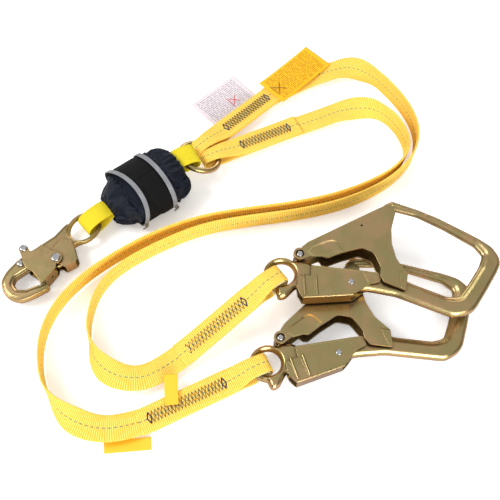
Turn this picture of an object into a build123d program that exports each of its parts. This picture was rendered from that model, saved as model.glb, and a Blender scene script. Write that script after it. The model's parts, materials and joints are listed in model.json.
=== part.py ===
from build123d import *
import math
import os

os.makedirs("parts", exist_ok=True)

# A twin-leg shock absorbing lanyard lying on a bench, in millimetres, +Z up.
# Places on the bench are measured from a mark near its middle; spot() moves them so that
# the frame's origin is on the bench, under the middle of the metal and the absorber.
BENCH_MIDDLE = (-1.703, -11.697)

# Webbing
WEB_WIDTH = 25.4
PLY = 2.0
SEWN = 4.4
WEAR_PAD = 0.8
THREAD = 0.55
ZIGZAG_PITCH = 10.0
ZIGZAG_SWING = 5.0
UPRIGHT_Z = 13.0
FLAT_Z = 6.0

# Connector ring
RING_WIRE = 3.25
RING_RADIUS = 21.75
RING_MIDDLE = (-56.5, 109.5, 15.8)
RING_TILT = 22.0
RING_LOOP_ANGLE = 26.0

# Absorber pack: where its middle lies, which way it points and its size
PACK_MIDDLE = (-116.5, 67.0, 21.12)
PACK_ANGLE = 36.9
PACK_LENGTH = 87.0
PACK_WIDTH = 72.0
PACK_HEIGHT = 38.0
MOUTH = (21.0, 13.0)
MOUTH_DROOP = 5.0
COVER_WALL = 1.5
BAND_WALL = 1.5
BAND_LENGTH = 40.0
BINDING_WIDTH = 5.0
BINDING_WALL = 0.6

# Snap hook
SNAP_EYE = (-179.6, 21.9, 10.8)
SNAP_ANGLE = -125.1
SNAP_HALF = 5.0
SNAP_EYE_MIDDLE = (0.0, 2.8)
SNAP_EYE_HOLE = (16.0, 12.2)
SNAP_EYE_OUTER = (20.6, 17.2)
SNAP_EYE_HALF = 3.25
SNAP_KNOB = (76, 16.6)
SNAP_RIVET = (45.6, 6.8)
SNAP_PIN = (56.7, -27.8)
SNAP_STOP = (71.0, -20.5)

# Rebar hooks
HOOK_A_EYE = (31.5, -46.0, 33.2)
HOOK_A_ANGLE = 0.0
HOOK_B_EYE = (17.5, -131.0, 11.3)
HOOK_B_ANGLE = 16.5
HOOK_HALF = 6.0
HOOK_EYE_HOLE = 12.5
HOOK_EYE_OUTER = 18.5
GATE_PIN_HOLE = (82.3, 51)
GATE_RIVET = (18.4, 19.0)
GATE_EAR = 6.6
GATE_DISH = 4.4
LEVER_RIVET = (68.0, -11.0)
EYE_STRAP_WIDTH = 19.0
EYE_LOOP_HALF = 8.4

# Layers of the rebar hook outward from its middle plane
LEVER_LAYER = (6.3, 8.3)
GATE_LAYER = (8.7, 10.7)

# Centre lines of the two legs, from the sewn end at the ring to the sewn end at the hook
LEG_A_ROUTE = [
    (21, 202, 6), (58, 226, 6), (94, 241, 7), (123, 246, 12), (148, 229, 13), (168, 203, 13),
    (184, 174, 13), (191, 143, 13), (184, 112, 13), (165, 87, 13), (138, 66, 13), (98, 47, 13),
    (50, 35, 13), (0, 28, 13), (-50, 18, 13), (-95, -3, 13), (-134, -28, 13), (-153, -52, 13),
    (-160, -80, 13), (-159, -104, 13), (-152, -125, 13), (-134, -142, 12), (-108, -146, 8),
    (-84, -134, 6), (-62, -116, 6),
]
LEG_B_ROUTE = [
    (46, 157, 6), (76, 169, 6), (106, 180, 9), (136, 184, 12), (160, 169, 13), (174, 146, 13),
    (179, 120, 13), (166, 97, 13), (142, 78, 13), (100, 58, 13), (50, 45, 13), (0, 38, 13),
    (-50, 29, 13), (-98, 10, 13), (-136, -13, 13), (-168, -38, 13), (-192, -67, 13),
    (-204, -98, 13), (-204, -130, 13), (-195, -158, 13), (-177, -180, 13), (-152, -193, 12),
    (-124, -194, 8), (-96, -184, 6),
]
LEG_A_UPRIGHT = (3, 20)
LEG_B_UPRIGHT = (2, 20)
RING_EYE_A = (-63.0, 119.0, 9.8)
RING_EYE_B = (-54.0, 109.0, 8.2)


def spot(x, y, z=0.0):
    return Vector(x - BENCH_MIDDLE[0], y - BENCH_MIDDLE[1], z)


def turned(angle):
    return Vector(math.cos(math.radians(angle)), math.sin(math.radians(angle)), 0)


def flat_plane(place, angle):
    """A level plane at a place on the bench, its x axis turned by an angle."""
    return Plane(origin=spot(*place), x_dir=turned(angle), z_dir=(0, 0, 1))


def upright_plane(place, angle):
    """A vertical plane whose x axis runs along the bench at an angle and whose y axis is up."""
    along = turned(angle)
    return Plane(origin=spot(*place), x_dir=along, z_dir=along.cross(Vector(0, 0, 1)))


def finish(piece, label):
    piece.part.label = label
    export_step(piece.part, f"parts/{label}.step")


def outline(points, radii):
    """A closed outline with a rounded corner of its own radius at each point."""
    with BuildLine() as border:
        FilletPolyline(*points, radius=radii, close=True)
    make_face(border.edges())


def disc(centre, radius, mode=Mode.ADD):
    with Locations(centre):
        Circle(radius, mode=mode)


def bevelled_disc(base, centre, radius, half, bevel=1.1):
    """A round boss with both rims bevelled, added to the part being built."""
    with BuildSketch(base.offset(bevel - half)) as middle:
        disc(centre, radius)
    extrude(middle.sketch, amount=2 * (half - bevel))
    for side in (1, -1):
        with BuildSketch(base.offset(side * (half - bevel))) as cap:
            disc(centre, radius)
        extrude(cap.sketch, amount=side * bevel, taper=45)


# Rebar hooks -----------------------------------------------------------------------------

HOOK_FRAME = [
    (117, 84.6), (108, 80), (106, 73), (118, 74.5), (142, 67.1), (168.3, 51.6), (196, 32),
    (203, 21), (198, 9), (183.4, -12), (173, -25), (161, -24.4), (129.5, -10.7), (118, -4.5),
    (95, -1), (36, 6), (27, 13), (12, 13), (0, 0), (-6, -16), (-5, -28.6), (4, -25),
    (14, -14.5), (24, -17), (84, -17.5), (112, -23.5), (166, -46.3), (185, -41.5), (201.5, -18),
    (214, 1), (221.5, 14.5), (214, 30.5), (200, 41.2), (163, 64.4), (143, 74.3),
]
HOOK_FRAME_RADII = [
    4, 3, 1.5, 2, 40, 40, 9, 5, 12, 20, 7, 9, 20, 10, 30, 10, 4, 2, 2, 3, 4, 3, 4, 4, 60, 30,
    16, 24, 40, 24, 16, 22, 40, 60, 40,
]
GATE_SIDE = [
    (20.5, 26.5), (27, 32), (113, 77.6), (118.4, 68), (112, 47), (110.8, 30), (114, 13),
    (123.2, -3.5), (119.4, -21.4), (99, -12.3), (96.2, -5), (97.6, 4), (92, 19.5), (80, 25.6),
    (60, 19.6), (46, 13.9), (41, 15.4), (38.5, 20), (20, 12.6),
]
GATE_SIDE_RADII = [
    1, 6, 3, 5, 20, 16, 10, 2, 1.5, 4, 3, 8, 8, 8, 14, 2.5, 2, 2, 1,
]
LEVER_SIDE = [
    (29.3, 7.2), (83, 0.5), (96, -1.5), (97, -11.5), (88.5, -13.2), (81.5, -16), (76.5, -20),
    (69, -24.8), (19.5, -28), (15.3, -19.8), (14.8, -13), (15.7, -5.8), (28.6, -4.6),
]
LEVER_SIDE_RADII = [
    1, 10, 2, 3, 4, 3, 3, 1.5, 1.5, 5, 5, 2, 1,
]


def torsion_spring(base, centre, low, coil_radius, wire, arm, arm_angle):
    """One turn of wire round a rivet and a straight leg, rising from the height low."""
    pitch = 2.3 * wire
    middle = base.offset(low).from_local_coords(Vector(centre[0], centre[1], 0))
    seat = Plane(origin=middle, x_dir=base.x_dir, z_dir=base.z_dir).rotated((0, 0, arm_angle - 90))
    with BuildPart() as loose:
        with BuildLine():
            coil = Helix(pitch=pitch, height=pitch, radius=coil_radius)
        with BuildSketch(Plane(origin=coil @ 0, z_dir=coil % 0)):
            Circle(wire)
        sweep(is_frenet=True)
        with BuildSketch(Plane(origin=coil @ 1, z_dir=(0, 1, 0)).offset(-0.4)):
            Circle(wire * 0.98)
        extrude(amount=arm)
    with BuildPart() as spring:
        add(seat * loose.part)
    return spring


def rivet(base, centre, shaft, head, low, high, head_height):
    """A round rivet with a low domed head at each end."""
    with BuildPart() as pin:
        with BuildSketch(base.offset(low)):
            disc(centre, shaft)
        extrude(amount=high - low)
        with BuildSketch(base.offset(high)):
            disc(centre, head)
        extrude(amount=head_height)
        with BuildSketch(base.offset(low - head_height)):
            disc(centre, head)
        extrude(amount=head_height)
        rims = pin.edges().filter_by(GeomType.CIRCLE).sort_by(lambda e: e.center().Z)
        chamfer([rims[0], rims[-1]], length=head_height * 0.55)
    return pin


def hook_body(base, label):
    with BuildPart() as body:
        with BuildSketch(base.offset(-HOOK_HALF)):
            outline(HOOK_FRAME, HOOK_FRAME_RADII)
        extrude(amount=2 * HOOK_HALF)
        faces = body.faces().sort_by(Axis.Z)
        chamfer(faces[-1].edges() + faces[0].edges(), length=1.1)
        bevelled_disc(base, (0, 0), HOOK_EYE_OUTER, HOOK_HALF)
        bevelled_disc(base, GATE_RIVET, 6.0, HOOK_HALF)
        with BuildSketch(base.offset(-HOOK_HALF)):
            disc((0, 0), HOOK_EYE_HOLE)
            disc(GATE_RIVET, 3.03)
            disc(LEVER_RIVET, 3.03)
        extrude(amount=2 * HOOK_HALF, mode=Mode.SUBTRACT)
        eye_rims = [
            e for e in body.edges().filter_by(GeomType.CIRCLE)
            if abs(e.radius - HOOK_EYE_HOLE) < 0.01
        ]
        fillet(eye_rims, radius=3.4)
        for side in (1, -1):
            boss_face = base.offset(side * 3.2)
            with BuildSketch(boss_face):
                disc(GATE_RIVET, GATE_EAR)
                disc(LEVER_RIVET, 6.2)
            extrude(amount=side * HOOK_HALF, mode=Mode.SUBTRACT)
    finish(body, label)


def hook_gate(base, label):
    """A folded channel: two side plates joined by a strip along its outer edge."""
    along = Vector(76, 40.4, 0).normalized()
    inward = Vector(along.Y, -along.X, 0)
    corner = Vector(27, 32, 0)
    strip = [
        corner + along * 9, corner + along * 82,
        corner + along * 82 + inward * 1.9, corner + along * 9 + inward * 1.9,
    ]
    with BuildPart() as gate:
        with BuildSketch(base.offset(GATE_LAYER[0])):
            outline(GATE_SIDE, GATE_SIDE_RADII)
            disc(GATE_RIVET, GATE_EAR)
            disc(GATE_RIVET, GATE_DISH, Mode.SUBTRACT)
            disc(GATE_PIN_HOLE, 1.2, Mode.SUBTRACT)
        extrude(amount=GATE_LAYER[1] - GATE_LAYER[0])
        with BuildSketch(base.offset(LEVER_LAYER[0])):
            disc(GATE_RIVET, GATE_EAR)
            disc(GATE_RIVET, 3.06, Mode.SUBTRACT)
        extrude(amount=LEVER_LAYER[1] - LEVER_LAYER[0])
        with BuildSketch(base.offset(LEVER_LAYER[1] - 0.1)):
            disc(GATE_RIVET, GATE_EAR)
            disc(GATE_RIVET, GATE_DISH, Mode.SUBTRACT)
        extrude(amount=GATE_LAYER[0] - LEVER_LAYER[1] + 0.2)
        with BuildSketch(base.offset(GATE_LAYER[0] - 1.8)):
            with BuildLine():
                Polyline((123, -5), (119.6, -20.4), (117.8, -19.4), (121.1, -2.6), close=True)
            make_face()
        extrude(amount=2)
        mirror(about=base)
        with BuildSketch(base.offset(-GATE_LAYER[1])):
            with BuildLine():
                Polyline(*strip, close=True)
            make_face()
        extrude(amount=2 * GATE_LAYER[1])
    finish(gate, label)


def hook_lever(base, label):
    """A folded channel: two side plates joined by a strip along the bottom."""
    with BuildPart() as lever:
        with BuildSketch(base.offset(LEVER_LAYER[0])):
            outline(LEVER_SIDE, LEVER_SIDE_RADII)
            disc(LEVER_RIVET, 3.06, Mode.SUBTRACT)
        extrude(amount=LEVER_LAYER[1] - LEVER_LAYER[0])
        for left in (19.5, 30.5):
            with BuildSketch(base.offset(LEVER_LAYER[1] - 0.1)):
                with BuildLine():
                    Polyline(
                        (left, -7), (left + 2.8, -7), (left + 4.6, -25), (left + 1.8, -25), close=True)
                make_face()
            extrude(amount=0.5)
        mirror(about=base)
        with BuildSketch(base.offset(-LEVER_LAYER[1])):
            with BuildLine():
                Polyline((20.5, -27.93), (68, -24.87), (67.9, -23.0), (20.4, -26.06), close=True)
            make_face()
        extrude(amount=2 * LEVER_LAYER[1])
    finish(lever, label)


def rebar_hook(name, place, angle):
    base = flat_plane(place, angle)
    hook_body(base, f"{name}_body")
    hook_gate(base, f"{name}_gate")
    hook_lever(base, f"{name}_lever")
    gate_pin = rivet(base, GATE_RIVET, 3.0, 3.6, -8.4, 8.4, 2.1)
    finish(gate_pin, f"{name}_gate_rivet")
    lever_pin = rivet(base, LEVER_RIVET, 3.0, 3.0, -8.0, 8.0, 0.5)
    finish(lever_pin, f"{name}_lever_rivet")
    gate_spring = torsion_spring(base, GATE_RIVET, 3.9, 4.2, 0.5, 16, 30)
    finish(gate_spring, f"{name}_gate_spring")
    lever_spring = torsion_spring(base, LEVER_RIVET, 3.9, 4.2, 0.5, 2, 200)
    finish(lever_spring, f"{name}_lever_spring")


# Snap hook -------------------------------------------------------------------------------

SNAP_FRAME = [
    (6, -15), (26, -15), (56, -23.4), (70, -26.8), (86, -27.2), (98, -23.5), (105, -13),
    (106.4, -3), (103, 8), (94, 14), (82, 19.6), (75, 20), (72, 15), (79, 9), (89.5, 2.5),
    (94, -4.5), (91.5, -11), (85.5, -13.2), (70, -8.8), (58, -4.5), (50, 0), (40, 14), (22, 10),
    (10, 15),
]
SNAP_FRAME_RADII = [
    3, 14, 60, 30, 24, 12, 14, 14, 12, 24, 5, 3, 3, 12, 8, 4, 4, 5, 14, 10, 3, 3, 4, 2,
]
SNAP_GATE_SIDE = [
    (39.4, 2), (42.2, -3), (43.2, -12), (42.6, -16), (47.5, -16.5), (52.6, -17.4), (55.6, -20),
    (52, -27.5), (54.6, -32.4), (60, -32), (66, -21.4), (69.6, -17), (71.8, -10.1), (71, -3),
    (72.8, 5.1), (76.7, 15.2), (54, 14.3), (51, 12),
]
SNAP_GATE_SIDE_RADII = [
    1, 4, 8, 1, 6, 2, 2, 4, 3, 4, 10, 4, 8, 10, 8, 1, 1, 1,
]
SNAP_LEVER_SIDE = [
    (26, -5.5), (20.4, 4.3), (22.7, 9.6), (32.3, 23.7), (36, 25.2), (47.8, 20.6), (48, 15),
    (53, 6), (47, -1.5), (40, -4),
]
SNAP_LEVER_SIDE_RADII = [
    2, 3, 6, 3, 1.5, 2, 3, 4, 4, 3,
]
SNAP_LEVER_LAYER = (5.5, 7.2)
SNAP_GATE_LAYER = (7.6, 9.3)


def elliptical_eye(base):
    """The rounded ring of forging that the harness loop goes through."""
    with BuildPart() as eye:
        with BuildSketch(base.offset(-SNAP_EYE_HALF)):
            with Locations(SNAP_EYE_MIDDLE):
                Ellipse(*SNAP_EYE_OUTER)
                Ellipse(*SNAP_EYE_HOLE, mode=Mode.SUBTRACT)
        extrude(amount=2 * SNAP_EYE_HALF)
        faces = eye.faces().sort_by(Axis.Z)
        fillet(faces[-1].edges() + faces[0].edges(), radius=2.1)
    return eye


def snap_body(base):
    eye = elliptical_eye(base)
    with BuildPart() as body:
        with BuildSketch(base.offset(-SNAP_HALF)):
            outline(SNAP_FRAME, SNAP_FRAME_RADII)
        extrude(amount=2 * SNAP_HALF)
        faces = body.faces().sort_by(Axis.Z)
        chamfer(faces[-1].edges() + faces[0].edges(), length=1.2)
        bevelled_disc(base, SNAP_RIVET, 7.6, SNAP_HALF)
        bevelled_disc(base, SNAP_KNOB, 5.2, SNAP_HALF)
        with BuildSketch(base.offset(-SNAP_HALF)):
            with Locations(SNAP_EYE_MIDDLE):
                Ellipse(SNAP_EYE_OUTER[0] - 2, SNAP_EYE_OUTER[1] - 2)
            disc(SNAP_RIVET, 3.03)
            disc(SNAP_STOP, 2.53)
        extrude(amount=2 * SNAP_HALF, mode=Mode.SUBTRACT)
        for side in (1, -1):
            with BuildSketch(base.offset(side * 2.6)):
                disc(SNAP_RIVET, 8.0)
            extrude(amount=side * SNAP_HALF, mode=Mode.SUBTRACT)
        add(eye.part)
    finish(body, "snap_body")


def snap_gate(base):
    along = Vector(22.7, 0.9, 0).normalized()
    outward = Vector(-along.Y, along.X, 0)
    corner = Vector(54, 14.3, 0)
    strip = [
        corner + along * 1.2, corner + along * 15.6,
        corner + along * 15.6 - outward * 1.7, corner + along * 1.2 - outward * 1.7,
    ]
    with BuildPart() as gate:
        with BuildSketch(base.offset(SNAP_GATE_LAYER[0])):
            outline(SNAP_GATE_SIDE, SNAP_GATE_SIDE_RADII)
            disc(SNAP_RIVET, 6.6)
            disc(SNAP_RIVET, 3.06, Mode.SUBTRACT)
            disc(SNAP_PIN, 2.5, Mode.SUBTRACT)
        extrude(amount=SNAP_GATE_LAYER[1] - SNAP_GATE_LAYER[0])
        mirror(about=base)
        with BuildSketch(base.offset(-SNAP_GATE_LAYER[1])):
            with BuildLine():
                Polyline(*strip, close=True)
            make_face()
        extrude(amount=2 * SNAP_GATE_LAYER[1])
        hole_middle = base.from_local_coords(corner + along * 8)
        outward_world = (base.from_local_coords(corner + outward) - base.from_local_coords(corner))
        with BuildSketch(Plane(origin=hole_middle, z_dir=outward_world).offset(-4)):
            Circle(1.3)
        extrude(amount=8, mode=Mode.SUBTRACT)
    finish(gate, "snap_gate")


def snap_lever(base):
    with BuildPart() as lever:
        with BuildSketch(base.offset(SNAP_LEVER_LAYER[0])):
            outline(SNAP_LEVER_SIDE, SNAP_LEVER_SIDE_RADII)
            disc(SNAP_RIVET, 3.06, Mode.SUBTRACT)
        extrude(amount=SNAP_LEVER_LAYER[1] - SNAP_LEVER_LAYER[0])
        mirror(about=base)
        with BuildSketch(base.offset(-SNAP_LEVER_LAYER[1])):
            with BuildLine():
                Polyline((36.4, 25), (47.2, 20.8), (46.6, 19.2), (35.8, 23.4), close=True)
            make_face()
        extrude(amount=2 * SNAP_LEVER_LAYER[1])
    finish(lever, "snap_lever")


def snap_hook():
    base = flat_plane(SNAP_EYE, SNAP_ANGLE)
    snap_body(base)
    snap_gate(base)
    snap_lever(base)
    finish(rivet(base, SNAP_RIVET, 3.0, 4.6, -9.4, 9.4, 1.3), "snap_gate_rivet")
    finish(rivet(base, SNAP_PIN, 2.49, 3.8, -9.31, 9.31, 1.4), "snap_gate_pin")
    finish(rivet(base, SNAP_STOP, 2.5, 3.6, -5.05, 5.05, 2.2), "snap_stop_rivet")
    spring = torsion_spring(base, SNAP_RIVET, 3.2, 4.7, 0.55, 15, 64)
    finish(spring, "snap_gate_spring")
    under = torsion_spring(base, SNAP_RIVET, -4.8, 4.7, 0.55, 3, 200)
    finish(under, "snap_lever_spring")


# Absorber pack ---------------------------------------------------------------------------

def along_pack(distance, rise=0.0):
    """The upright plane across the pack, a distance along it from its middle."""
    forward = turned(PACK_ANGLE)
    middle = spot(*PACK_MIDDLE) + forward * distance + Vector(0, 0, rise)
    return Plane(origin=middle, x_dir=Vector(-forward.Y, forward.X, 0), z_dir=forward)


def pack_skin(shrink, ends):
    """A closed skin of ellipses along the pack: small, gathered ends and a full middle."""
    half = PACK_LENGTH / 2
    full = (PACK_WIDTH / 2, PACK_HEIGHT / 2, 0)
    stations = [
        (-half - ends, *MOUTH, -MOUTH_DROOP), (-half + 9, 30, 17.5, -MOUTH_DROOP / 2),
        (-BAND_LENGTH / 2, *full), (BAND_LENGTH / 2, *full),
        (half - 9, 30, 17.5, 0), (half + ends, *MOUTH, 0),
    ]
    sections = []
    for distance, width, height, rise in stations:
        with BuildSketch(along_pack(distance, rise)) as section:
            Ellipse(width - shrink, height - shrink)
        sections.append(section.sketch)
    loft(sections, ruled=True)


def absorber():
    with BuildPart() as hollow:
        pack_skin(COVER_WALL, 1.0)
    with BuildPart() as cover:
        pack_skin(0.0, 0.0)
        add(hollow.part, mode=Mode.SUBTRACT)
    finish(cover, "absorber_cover")

    with BuildPart() as band:
        with BuildSketch(along_pack(-BAND_LENGTH / 2)):
            Ellipse(PACK_WIDTH / 2 + BAND_WALL, PACK_HEIGHT / 2 + BAND_WALL)
            Ellipse(PACK_WIDTH / 2 + 0.02, PACK_HEIGHT / 2 + 0.02, mode=Mode.SUBTRACT)
        extrude(amount=BAND_LENGTH)
    finish(band, "wrap_band")

    inner = (PACK_WIDTH / 2 + BAND_WALL + 0.02, PACK_HEIGHT / 2 + BAND_WALL + 0.02)
    with BuildPart() as bindings:
        for start in (-BAND_LENGTH / 2, BAND_LENGTH / 2 - BINDING_WIDTH):
            with BuildSketch(along_pack(start)):
                Ellipse(inner[0] + BINDING_WALL, inner[1] + BINDING_WALL)
                Ellipse(*inner, mode=Mode.SUBTRACT)
            extrude(amount=BINDING_WIDTH)
    finish(bindings, "wrap_bindings")

    with BuildPart() as elastics:
        for start, rise in ((1.2 - PACK_LENGTH / 2, -MOUTH_DROOP), (PACK_LENGTH / 2 - 5.2, 0)):
            with BuildSketch(along_pack(start, rise)):
                Ellipse(MOUTH[0] - COVER_WALL - 0.1, MOUTH[1] - COVER_WALL - 0.1)
                Ellipse(MOUTH[0] - COVER_WALL - 0.9, MOUTH[1] - COVER_WALL - 0.9, mode=Mode.SUBTRACT)
            extrude(amount=4)
    finish(elastics, "absorber_elastics")
    folded_strap("tear_webbing", 5, 1.5, 50)
    folded_strap("backup_strap", 3, -11.5, 44)


def folded_strap(label, layers, low, length):
    """One strap folded to and fro in a stack of plies, seen from its side."""
    step = 2.7
    thickness = 1.8
    side = upright_plane(PACK_MIDDLE, PACK_ANGLE)
    with BuildPart() as strap:
        with BuildSketch(side.offset(-12)):
            for layer in range(layers):
                with Locations((0, low + layer * step)):
                    Rectangle(length, thickness)
            for layer in range(layers - 1):
                turn = length / 2 * (1 if layer % 2 else -1)
                with Locations((turn, low + (layer + 0.5) * step)):
                    Rectangle(thickness, step + thickness)
        extrude(amount=24)
    finish(strap, label)


def web_loop(place, angle, width, length, half, label, pitch=0.0, tail=0.0):
    """A loop of webbing: its near fold is at the place, it runs on at the angle to a sewn tail."""
    side = upright_plane(place, angle)
    with BuildPart() as loop:
        with BuildSketch(side.offset(-width / 2)):
            with Locations(Rotation(0, 0, pitch)):
                with Locations((length / 2, 0)):
                    SlotOverall(length, 2 * (half + PLY))
                with Locations((length + tail / 2 - PLY / 2, 0)):
                    Rectangle(tail + PLY, SEWN)
                with Locations((length / 2, 0)):
                    SlotOverall(length - 2 * PLY, 2 * half, mode=Mode.SUBTRACT)
        extrude(amount=width)
    finish(loop, label)
    return loop


# Legs ------------------------------------------------------------------------------------

def corner_radii(points):
    """The largest tangent arc at each corner: 0.45 of its shorter run."""
    radii = []
    for before, here, after in zip(points, points[1:], points[2:]):
        run_in = Vector(*here) - Vector(*before)
        run_out = Vector(*after) - Vector(*here)
        half_turn = math.radians(run_in.get_angle(run_out)) / 2
        radii.append(0.45 * min(run_in.length, run_out.length) / math.tan(half_turn))
    return radii


def half_way(first, second):
    return tuple((a + b) / 2 for a, b in zip(first, second))


def leg_run(label, route, upright):
    """Flat webbing that turns on edge for the middle of the leg and lies flat again."""
    level = [tuple(spot(x, y))[:2] for x, y, z in route]
    first, last = upright
    enter = half_way(level[first], level[first + 1])
    leave = half_way(level[last], level[last + 1])
    stretches = [
        (level[: first + 1] + [enter], FLAT_Z, WEB_WIDTH, PLY),
        ([enter] + level[first + 1 : last + 1] + [leave], UPRIGHT_Z, PLY, WEB_WIDTH),
        ([leave] + level[last + 1 :], FLAT_Z, WEB_WIDTH, PLY),
    ]
    length = 0.0
    with BuildPart() as run:
        for points, height, width, thickness in stretches:
            raised = [(x, y, height) for x, y in points]
            radii = corner_radii(raised)
            with BuildLine() as line:
                FilletPolyline(*raised, radius=radii)
            path = line.wires()[0]
            length += path.length
            across = Plane(origin=path @ 0, z_dir=path % 0, x_dir=(path % 0).cross(Vector(0, 0, 1)))
            with BuildSketch(across):
                Rectangle(width, thickness)
            sweep(path=path)
    print(label, round(length, 1), "mm long")
    finish(run, label)


def sewn_bar(side, start, end, width, thickness):
    """Two plies sewn together, running between two places in an upright plane."""
    lift = thickness / 2
    with BuildSketch(side.offset(-width / 2)) as bar:
        with BuildLine():
            Polyline(
                (start[0], start[1] - lift), (end[0], end[1] - lift),
                (end[0], end[1] + lift), (start[0], start[1] + lift), close=True,
            )
        make_face()
    extrude(bar.sketch, amount=width)


def sewn_eye(label, fold, goal, width, loop_length, half, bar_start):
    """The end of a leg: a bunched loop whose fold is at one place, then two plies sewn flat."""
    reach = math.hypot(goal[0] - fold[0], goal[1] - fold[1])
    angle = math.degrees(math.atan2(goal[1] - fold[1], goal[0] - fold[0]))
    side = upright_plane(fold, angle)
    drop = goal[2] - fold[2]
    with BuildPart() as eye:
        with BuildSketch(side.offset(-width / 2)):
            with Locations((loop_length / 2, 0)):
                SlotOverall(loop_length, 2 * (half + PLY))
                SlotOverall(loop_length - 2 * PLY, 2 * half, mode=Mode.SUBTRACT)
        extrude(amount=width)
        sewn_bar(side, (loop_length - PLY, 0), (bar_start + 4, drop * 0.08), width, SEWN)
        sewn_bar(side, (bar_start, drop * 0.05), (reach, drop), WEB_WIDTH, SEWN)
    finish(eye, label)

    def on_top(along):
        share = (along - bar_start) / (reach - bar_start)
        return drop * (0.05 + 0.95 * share) + SEWN / 2 + 1.05 * THREAD

    return side, (46, on_top(46)), (reach - 4, on_top(reach - 4))


def zigzag(side, start, end):
    """Two mirrored rows of lock stitch along the top of the sewn plies."""
    cycles = round((end[0] - start[0]) / ZIGZAG_PITCH)
    with BuildPart() as thread:
        for mirrored in (1, -1):
            marks = []
            for i in range(cycles * 2 + 1):
                share = i / (cycles * 2)
                along = start[0] + (end[0] - start[0]) * share
                height = start[1] + (end[1] - start[1]) * share
                swing = mirrored * ZIGZAG_SWING * (1 if i % 2 else -1)
                marks.append(side.from_local_coords(Vector(along, height, swing)))
            for first, second in zip(marks, marks[1:]):
                run = second - first
                with BuildSketch(Plane(origin=first, z_dir=run)):
                    Circle(THREAD)
                extrude(amount=run.length)
    return thread


def leg(name, route, upright, ring_fold, hook_place, ring_width, ring_half):
    leg_run(f"{name}_webbing", route, upright)
    ring_seam = sewn_eye(
        f"{name}_ring_eye", ring_fold, route[0], ring_width, 34, ring_half, 40)
    fold_angle = math.atan2(hook_place[1] - route[-1][1], hook_place[0] - route[-1][0])
    fold = (hook_place[0] + math.cos(fold_angle), hook_place[1] + math.sin(fold_angle), hook_place[2])
    inside = EYE_LOOP_HALF + WEAR_PAD
    hook_seam = sewn_eye(
        f"{name}_hook_eye", fold, route[-1], EYE_STRAP_WIDTH, 31, inside, 34)
    with BuildPart() as pad:
        with BuildSketch(hook_seam[0].offset(-EYE_STRAP_WIDTH / 2 + 0.5)):
            with Locations((PLY + inside, 0)):
                Circle(inside - 0.02)
                Circle(EYE_LOOP_HALF, mode=Mode.SUBTRACT)
            with Locations((PLY + inside + 10, 0)):
                Rectangle(20, 40, mode=Mode.SUBTRACT)
        extrude(amount=EYE_STRAP_WIDTH - 1)
    finish(pad, f"{name}_wear_pad")
    with BuildPart() as threads:
        add(zigzag(*ring_seam).part)
        add(zigzag(*hook_seam).part)
    finish(threads, f"{name}_stitching")


def label_plate(label, middle, angle, length, width, thickness=0.8):
    with BuildPart() as plate:
        with BuildSketch(flat_plane(middle, angle)):
            RectangleRounded(length, width, 2.5)
        extrude(amount=thickness)
    finish(plate, label)


def ring_and_loops():
    forward = turned(PACK_ANGLE)
    normal = forward * math.sin(math.radians(RING_TILT)) + Vector(0, 0, math.cos(math.radians(RING_TILT)))
    ring_plane = Plane(origin=spot(*RING_MIDDLE), z_dir=normal)
    with BuildPart() as ring:
        add(ring_plane * Torus(RING_RADIUS, RING_WIRE, mode=Mode.PRIVATE))
    finish(ring, "connector_ring")

    reach = turned(RING_LOOP_ANGLE) * 3
    ring_end = (RING_MIDDLE[0] - reach.X, RING_MIDDLE[1] - reach.Y, 22.6)
    web_loop(ring_end, RING_LOOP_ANGLE + 180, WEB_WIDTH, 28, 5.2, "ring_loop", tail=10)
    sideways = turned(SNAP_ANGLE + 90) * SNAP_EYE_MIDDLE[1]
    fold = (SNAP_EYE[0] + sideways.X, SNAP_EYE[1] + sideways.Y, SNAP_EYE[2])
    web_loop(fold, 41.5, 21, 36, 6.3, "harness_loop", pitch=7, tail=15)


snap_hook()
rebar_hook("hook_a", HOOK_A_EYE, HOOK_A_ANGLE)
rebar_hook("hook_b", HOOK_B_EYE, HOOK_B_ANGLE)
absorber()
ring_and_loops()
leg("leg_a", LEG_A_ROUTE, LEG_A_UPRIGHT, RING_EYE_A, HOOK_A_EYE, 12.0, 6.2)
leg("leg_b", LEG_B_ROUTE, LEG_B_UPRIGHT, RING_EYE_B, HOOK_B_EYE, 13.0, 5.7)
label_plate("label_white", (-31, 201, 1.0), 43, 66, 43)
label_plate("label_orange", (54, 235, 9.0), 45, 82, 40)
label_plate("tag_a", (-73, -157, 12.5), 95, 30, 19)
label_plate("tag_b", (-114, -207, 1.0), 5, 44, 12)
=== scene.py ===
import json
import math
import random

import bpy
from mathutils import Matrix, Vector
from mathutils.kdtree import KDTree


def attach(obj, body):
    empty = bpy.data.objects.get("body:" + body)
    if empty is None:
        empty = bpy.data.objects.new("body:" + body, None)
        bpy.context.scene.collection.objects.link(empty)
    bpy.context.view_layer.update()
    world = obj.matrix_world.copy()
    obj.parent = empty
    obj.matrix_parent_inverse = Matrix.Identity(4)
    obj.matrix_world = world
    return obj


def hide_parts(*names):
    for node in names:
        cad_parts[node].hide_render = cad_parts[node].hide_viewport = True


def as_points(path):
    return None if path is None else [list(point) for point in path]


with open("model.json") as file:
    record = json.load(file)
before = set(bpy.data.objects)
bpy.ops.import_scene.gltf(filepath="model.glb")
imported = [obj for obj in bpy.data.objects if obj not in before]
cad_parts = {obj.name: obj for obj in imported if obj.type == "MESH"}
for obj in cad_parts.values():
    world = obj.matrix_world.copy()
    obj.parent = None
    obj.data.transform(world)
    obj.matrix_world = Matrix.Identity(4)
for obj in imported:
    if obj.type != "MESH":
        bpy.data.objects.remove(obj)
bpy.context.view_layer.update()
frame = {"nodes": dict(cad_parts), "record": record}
nodes = frame["nodes"]
MM = 0.001
UP = Vector((0, 0, 1))

# Places are measured on the bench from the mark that the CAD uses, in millimetres.
BENCH_MIDDLE = (-1.703, -11.697)


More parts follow.
